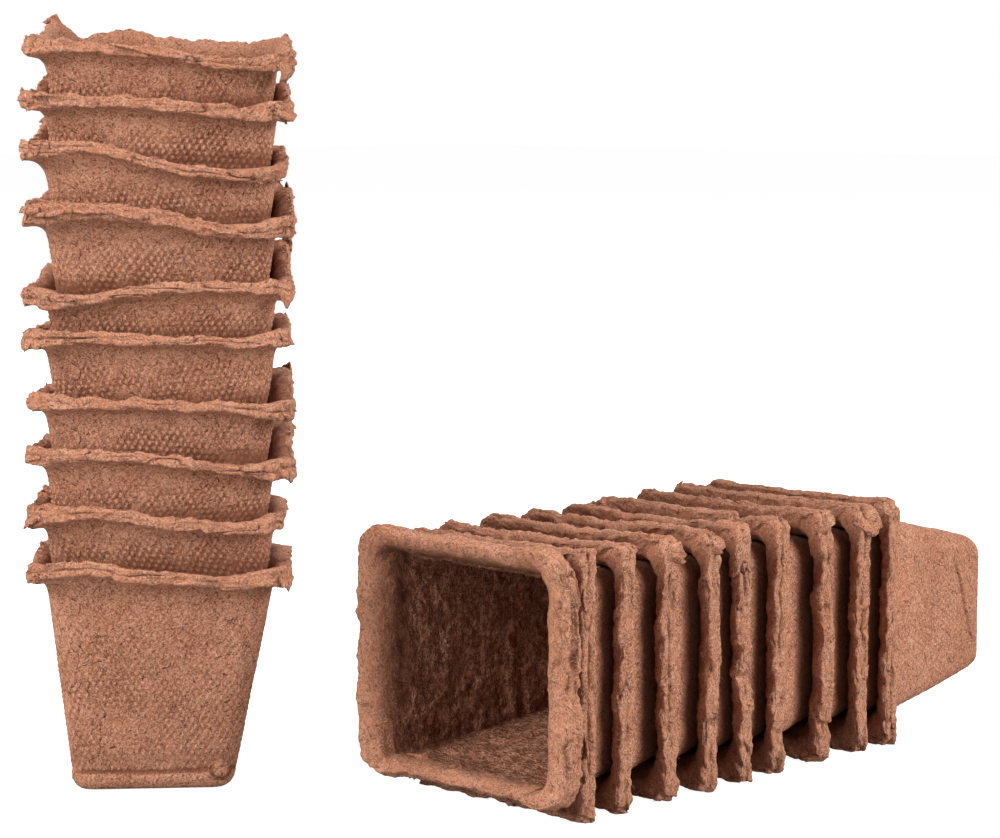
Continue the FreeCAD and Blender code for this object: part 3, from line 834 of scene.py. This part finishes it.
def plan(stack, number):
    """Everything that shapes one pot."""
    name = f"{stack}_pot_{number:02d}"
    standing = stack == "standing"
    outermost = number == 1
    mouth = name == "lying_pot_10"
    return {
        "name": name,
        "lip": LIPS[name],
        "seed": number * SEED_STEP + (0 if standing else LYING_SEEDS),
        "wall": wall_of(stack, number),
        "side_cells": 97 if outermost else 118,
        "corner_cells": 23 if outermost else 28,
        "foot_round": 3.6 if outermost else 2.6,
        "foot_inset": 2.6 if outermost else 2.2,
        "slimming": 1.6 if name == "lying_pot_01" else 0.0,
        "bend_start": 9.0 if mouth else (5.0 if standing else 7.5),
        "bend_climb": 0.9 if standing else (0.8 if mouth else 0.72),
        "thinnest": 1.2 if mouth else 0.7,
        "rim_corner": 6.5 if standing else (11.0 if mouth else 4.5),
        "notches": 0.0 if mouth else 4.0,
        "splitting": 0.3 if mouth else (0.6 if standing else 0.8),
        "row": 0.6 if outermost else 0.475,
        "fine_from": 0.0 if outermost else (60.0 if mouth else 44.0),
        "screen_fade": screen_fade(stack, number),
        "screen_slant": (number % 3 - 1) * 0.2,
        "screen_tilt": (number * 2 % 5 - 2) * 0.06,
        "corner_cut": 3.4 if mouth else 0.0,
        # How dark the painted shade at the lip roots is, and how it fades up the lip.
        "gap_shade_strength": 0.75 if mouth else 0.9,
        "gap_fade": 1.3 if standing else (0.8 if mouth else 0.75),
        "sharp_side": 0.45 if mouth else 0.0,
        # Shortens the top of a lying lip, and paints shade on the front faces of the top lips.
        "worn_and_shaded_top": 0.0 if standing or mouth else (1.0 if number > 4 else 0.4),
        "stands_out": standing_out(stack, number),
        "shade_length": 9.0 if name == "standing_pot_02" else 5.5,
        "side_crease": name == "lying_pot_01",
        "screen_strength": 0.5 if name == "standing_pot_01" else (0.9 if standing else 0.3),
        "foot_crease": name == "standing_pot_01",
        "flakes": 60 if standing else 50,
        "lip_lumps": 0.5 if standing or mouth else 1.2,
        "wild_corners": 0.45 if standing else 0.25,
        "scallops": 0.0 if mouth else (0.3 if standing else 0.8),
        "cracked_side": 1.0 if mouth else 0.0,
        "inside_row": 1.3 if mouth else 4.6,
        "inside_lumps": 0.85 if mouth else 0.12,
    }


def add_object(name, data):
    thing = bpy.data.objects.new(name, data)
    bpy.context.scene.collection.objects.link(thing)
    return thing


def make_pot(stack, number, material):
    pot = plan(stack, number)
    name = pot["name"]
    profile = Profile(Layout(pot["side_cells"], pot["corner_cells"]))
    add_foot(profile, pot)
    add_outside(profile, pot)
    add_lip(profile, pot)
    add_inside(profile, pot)
    points, relief_shading, shade = roughen(profile, pot)
    mesh = build_mesh(f"{name}_fibre", profile, points, relief_shading, shade, pot, placing(name))
    mesh.materials.append(material)
    piece = add_object(f"{name}_fibre", mesh)
    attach(piece, "outer_pots" if number == 1 else name)
    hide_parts(name)
    return piece


class Nodes:
    """A little help for writing a material's nodes."""

    def __init__(self, material):
        self.tree = material.node_tree
        self.tree.nodes.clear()

    def new(self, kind, **settings):
        node = self.tree.nodes.new(kind)
        for key, value in settings.items():
            setattr(node, key, value)
        return node

    def link(self, source, target):
        self.tree.links.new(source, target)

    def show(self, shader, kind="ShaderNodeOutputMaterial"):
        self.link(shader.outputs[0], self.new(kind).inputs["Surface"])

    def put(self, node, name, value):
        if isinstance(value, bpy.types.NodeSocket):
            self.link(value, node.inputs[name])
        else:
            node.inputs[name].default_value = value

    def fill(self, node, inputs):
        for name, value in inputs.items():
            self.put(node, name, value)

    def maths(self, operation, first, second):
        node = self.new("ShaderNodeMath", operation=operation)
        self.fill(node, {0: first, 1: second})
        return node.outputs[0]

    def noise(self, vector, scale, detail=3.0, roughness=0.6, distortion=0.0):
        node = self.new("ShaderNodeTexNoise")
        self.fill(node, {"Vector": vector, "Scale": scale, "Detail": detail})
        self.fill(node, {"Roughness": roughness, "Distortion": distortion})
        return node.outputs["Fac"]

    def ramp(self, value, low, high, to_low=0.0, to_high=1.0):
        node = self.new("ShaderNodeMapRange", interpolation_type="SMOOTHSTEP")
        self.fill(node, {"Value": value, "From Min": low, "From Max": high})
        self.fill(node, {"To Min": to_low, "To Max": to_high})
        return node.outputs["Result"]

    def times(self, first, second):
        return self.maths("MULTIPLY", first, second)

    def seen_rays(self):
        """1 where the camera sees a surface itself, in a gloss or through glass."""
        rays = self.new("ShaderNodeLightPath").outputs
        seen = self.maths("MAXIMUM", rays["Is Camera Ray"], rays["Is Glossy Ray"])
        return self.maths("MAXIMUM", seen, rays["Is Transmission Ray"])

    def mix(self, share, first, second):
        node = self.new("ShaderNodeMix", data_type="RGBA")
        self.fill(node, {0: share, 6: first, 7: second})
        return node.outputs[2]

    def attribute(self, name):
        return self.new("ShaderNodeAttribute", attribute_name=name).outputs["Fac"]

    def strands(self, vector, angle, width, length, share, wobble):
        """Short fibres: stretched cells, of which only a share is kept."""
        turned = self.new("ShaderNodeMapping", vector_type="TEXTURE")
        self.fill(turned, {"Vector": vector, "Rotation": (0, 0, angle), "Scale": (length, width, 1)})
        bent = self.new("ShaderNodeVectorMath", operation="ADD")
        self.fill(bent, {0: turned.outputs[0], 1: wobble})
        cells = self.new("ShaderNodeTexVoronoi", voronoi_dimensions="2D", feature="F1")
        self.fill(cells, {"Vector": bent.outputs[0], "Scale": 1.0})
        near = self.ramp(cells.outputs["Distance"], 0.18, 0.34, 1.0, 0.0)
        shade = self.new("ShaderNodeSeparateColor")
        self.link(cells.outputs["Color"], shade.inputs[0])
        kept = self.maths("LESS_THAN", shade.outputs[0], share)
        return self.times(near, kept)

    def all_strands(self, vector, sorts, wobble):
        """Several sorts of fibre laid over each other: angle, width, length and share of each."""
        layers = [self.strands(vector, *sort, wobble) for sort in sorts]
        whole = layers[0]
        for layer in layers[1:]:
            whole = self.maths("MAXIMUM", whole, layer)
        return whole


# Fibres drawn on the surface: angle, width and length in millimetres, and the share kept.
PALE_STRANDS = ((0.4, 0.26, 2.4, 0.22), (1.5, 0.24, 2.0, 0.20), (2.5, 0.28, 2.6, 0.22))
DARK_STRANDS = ((1.0, 0.32, 1.8, 0.13), (2.1, 0.30, 1.5, 0.12), (0.1, 0.36, 1.3, 0.10))
CRUMBS = ((0.7, 0.75, 1.25, 0.06),)
HAIRS = ((1.35, 0.75, 6.0, 0.035), (0.3, 0.7, 4.5, 0.03), (2.3, 0.65, 5.5, 0.03))


def peat_fibre():
    """Matt pressed peat and wood fibre."""
    material = bpy.data.materials.new("peat_fibre")
    material.use_nodes = True
    n = Nodes(material)
    place = n.new("ShaderNodeTexCoord").outputs["Object"]
    flat = n.new("ShaderNodeUVMap", uv_map="fibre").outputs["UV"]
    relief_shading, torn, lip = n.attribute("relief_shading"), n.attribute("torn"), n.attribute("lip")
    inside, loose, shade = n.attribute("inside"), n.attribute("loose"), n.attribute("shade")
    gap = n.attribute("gap")

    bending = n.new("ShaderNodeTexNoise")
    n.fill(bending, {"Vector": flat, "Scale": 0.5, "Detail": 1.0})
    wobble = n.new("ShaderNodeVectorMath", operation="SCALE")
    n.fill(wobble, {0: bending.outputs["Color"], "Scale": 2.5})
    sorts = (PALE_STRANDS, DARK_STRANDS, CRUMBS, HAIRS)
    pale, dark, crumbs, hairs = (n.all_strands(flat, sort, wobble.outputs[0]) for sort in sorts)

    blotches = n.noise(place, 60.0, 3.0, 0.55)
    mottle = n.noise(place, 500.0, 3.0, 0.65)
    grain = n.noise(place, 1700.0, 3.0, 0.7)

    rusty = n.maths("ADD", n.times(n.maths("MAXIMUM", torn, lip), 0.25), 0.12)
    stretched = n.new("ShaderNodeMapping")
    n.fill(stretched, {"Vector": flat, "Scale": (0.45, 1.3, 1)})
    streaks = n.noise(stretched.outputs[0], 0.6, 4.0, 0.7, 0.8)
    # How much of each colour is laid over those before it.
    layers = (
        (n.ramp(blotches, 0.35, 0.68, 0.0, 0.6), PALE_BROWN),
        (n.ramp(mottle, 0.32, 0.60, 0.55, 0.0), DARK_BROWN),
        (n.ramp(grain, 0.51, 0.66, 0.0, 0.9), PALE_BROWN),
        (n.ramp(grain, 0.34, 0.49, 0.9, 0.0), DARK_BROWN),
        (n.times(n.ramp(n.noise(place, 170.0, 2.0), 0.42, 0.65), rusty), ORANGE),
        # Painted shade in low places and painted highlight on high ones, from the relief.
        (n.ramp(relief_shading, -0.6, 0.15, 0.75, 0.0), DARK_BROWN),
        (n.ramp(relief_shading, 0.15, 0.8, 0.0, 0.6), PALE_BROWN),
        (n.times(pale, 0.62), STRAW),
        (n.times(dark, 0.75), SPECK),
        (n.times(crumbs, 0.8), SPECK),
        (n.times(hairs, 0.85), SPECK),
        # Painted shade inside the pots, broken by streaks.
        (n.times(inside, n.ramp(streaks, 0.40, 0.58, 1.0, 0.05)), DARK_BROWN),
        (n.times(n.times(inside, pale), 0.5), STRAW),
        (n.times(n.maths("MAXIMUM", torn, lip), 0.12), PALE_BROWN),
        # Painted shade from the shade attribute.
        (n.times(shade, 0.7), DARK_BROWN),
        # Painted shade in the gaps between the lips.
        (gap, SHADE_BROWN),
        (n.times(loose, 0.6), STRAW),
    )
    colour = BROWN
    for share, over in layers:
        colour = n.mix(share, colour, over)

    height = n.maths("ADD", n.times(grain, 0.5), n.times(mottle, 0.8))
    height = n.maths("ADD", height, n.times(pale, 0.4))
    height = n.maths("SUBTRACT", height, n.times(dark, 0.3))
    rough = n.maths("MAXIMUM", n.maths("MAXIMUM", torn, inside), n.times(lip, 0.7))
    coarse = n.times(n.noise(place, 1000.0, 4.0, 0.7, 0.6), rough)
    height = n.maths("ADD", height, n.times(coarse, 2.0))
    height = n.maths("ADD", height, n.times(n.times(streaks, inside), 4.0))
    bump = n.new("ShaderNodeBump")
    n.fill(bump, {"Strength": 0.75, "Distance": 0.0005, "Height": height})

    surface = n.new("ShaderNodeBsdfPrincipled")
    n.fill(surface, {"Base Color": colour, "Normal": bump.outputs[0], "Specular IOR Level": 0.15})
    n.put(surface, "Roughness", n.ramp(mottle, 0.2, 0.8, 0.88, 1.0))
    n.show(surface)
    return material


FLOOR_SHADE = 0.45
FLOOR_GLOW = 0.95
FLOOR_REACH = 6.0
FLOOR_DROP = 0.0002


def studio_floor():
    """A pale floor that shows the pots' shadows and is otherwise as white as the background."""
    mesh = bpy.data.meshes.new("studio_floor")
    corners = [(FLOOR_REACH * x, FLOOR_REACH * y, 0) for x, y in ((-1, -1), (1, -1), (1, 1), (-1, 1))]
    mesh.from_pydata(corners, [], [(0, 1, 2, 3)])
    floor = add_object("studio_floor", mesh)
    floor.location.z = -FLOOR_DROP
    material = bpy.data.materials.new("pale_floor")
    material.use_nodes = True
    n = Nodes(material)
    matt = n.new("ShaderNodeBsdfDiffuse")
    n.put(matt, "Color", (FLOOR_SHADE, FLOOR_SHADE, FLOOR_SHADE, 1))
    glow = n.new("ShaderNodeEmission")
    n.put(glow, "Strength", n.times(n.seen_rays(), FLOOR_GLOW))
    both = n.new("ShaderNodeAddShader")
    n.fill(both, {0: matt.outputs[0], 1: glow.outputs[0]})
    n.show(both)
    mesh.materials.append(material)


AMBIENT = 0.08


def studio_world():
    """A white background, and a weak even light from all round."""
    world = bpy.data.worlds.new("studio")
    bpy.context.scene.world = world
    world.use_nodes = True
    n = Nodes(world)
    background = n.new("ShaderNodeBackground")
    n.put(background, "Color", (1, 1, 1, 1))
    n.put(background, "Strength", n.ramp(n.seen_rays(), 0.0, 1.0, AMBIENT, 1.0))
    n.show(background, "ShaderNodeOutputWorld")


# The camera stands in front of the standing stack's face, a little below its top, and looks down.
CAMERA_PLACE = Vector((0.7181, -0.5776, 0.216))
CAMERA_TURN = STACK_TURN
CAMERA_DIP = math.radians(6.57)
CAMERA_LENS = 108.0
SENSOR_WIDTH = 36.0


def camera():
    lens = bpy.data.cameras.new("camera")
    lens.lens = CAMERA_LENS
    lens.sensor_width = SENSOR_WIDTH
    lens.clip_start = 0.05
    lens.clip_end = 50
    eye = add_object("camera", lens)
    eye.location = CAMERA_PLACE
    eye.rotation_euler = (QUARTER_TURN - CAMERA_DIP, 0, CAMERA_TURN)
    bpy.context.scene.camera = eye


# Soft lamps: degrees to the right of the camera's view, degrees up, distance, width and power.
LAMPS = {
    "left_softbox": (-56, 28, 1.5, 1.0, 33),
    "right_softbox": (62, 28, 1.5, 1.0, 31),
    "back_softbox": (180, 24, 1.5, 1.2, 13),
}
LIT_PLACE = Vector((0.06, 0.08, 0.08))


def lamps():
    """Two large soft lamps beside the camera, and a weaker one behind the pots."""
    for name, (aside, up, distance, width, power) in LAMPS.items():
        turn = CAMERA_TURN - QUARTER_TURN + math.radians(aside)
        rise = math.radians(up)
        way = Vector((math.cos(turn) * math.cos(rise), math.sin(turn) * math.cos(rise), math.sin(rise)))
        light = bpy.data.lights.new(name, "AREA")
        light.shape = "SQUARE"
        light.size = width
        light.energy = power
        lamp = add_object(name, light)
        lamp.location = LIT_PLACE + way * distance
        lamp.rotation_euler = way.to_track_quat("Z", "Y").to_euler()


def main():
    bpy.context.scene.view_settings.view_transform = "Standard"
    material = peat_fibre()
    for stack in ("standing", "lying"):
        for number in range(1, POTS + 1):
            make_pot(stack, number, material)
    studio_floor()
    studio_world()
    lamps()
    camera()
    bpy.context.view_layer.update()


main()
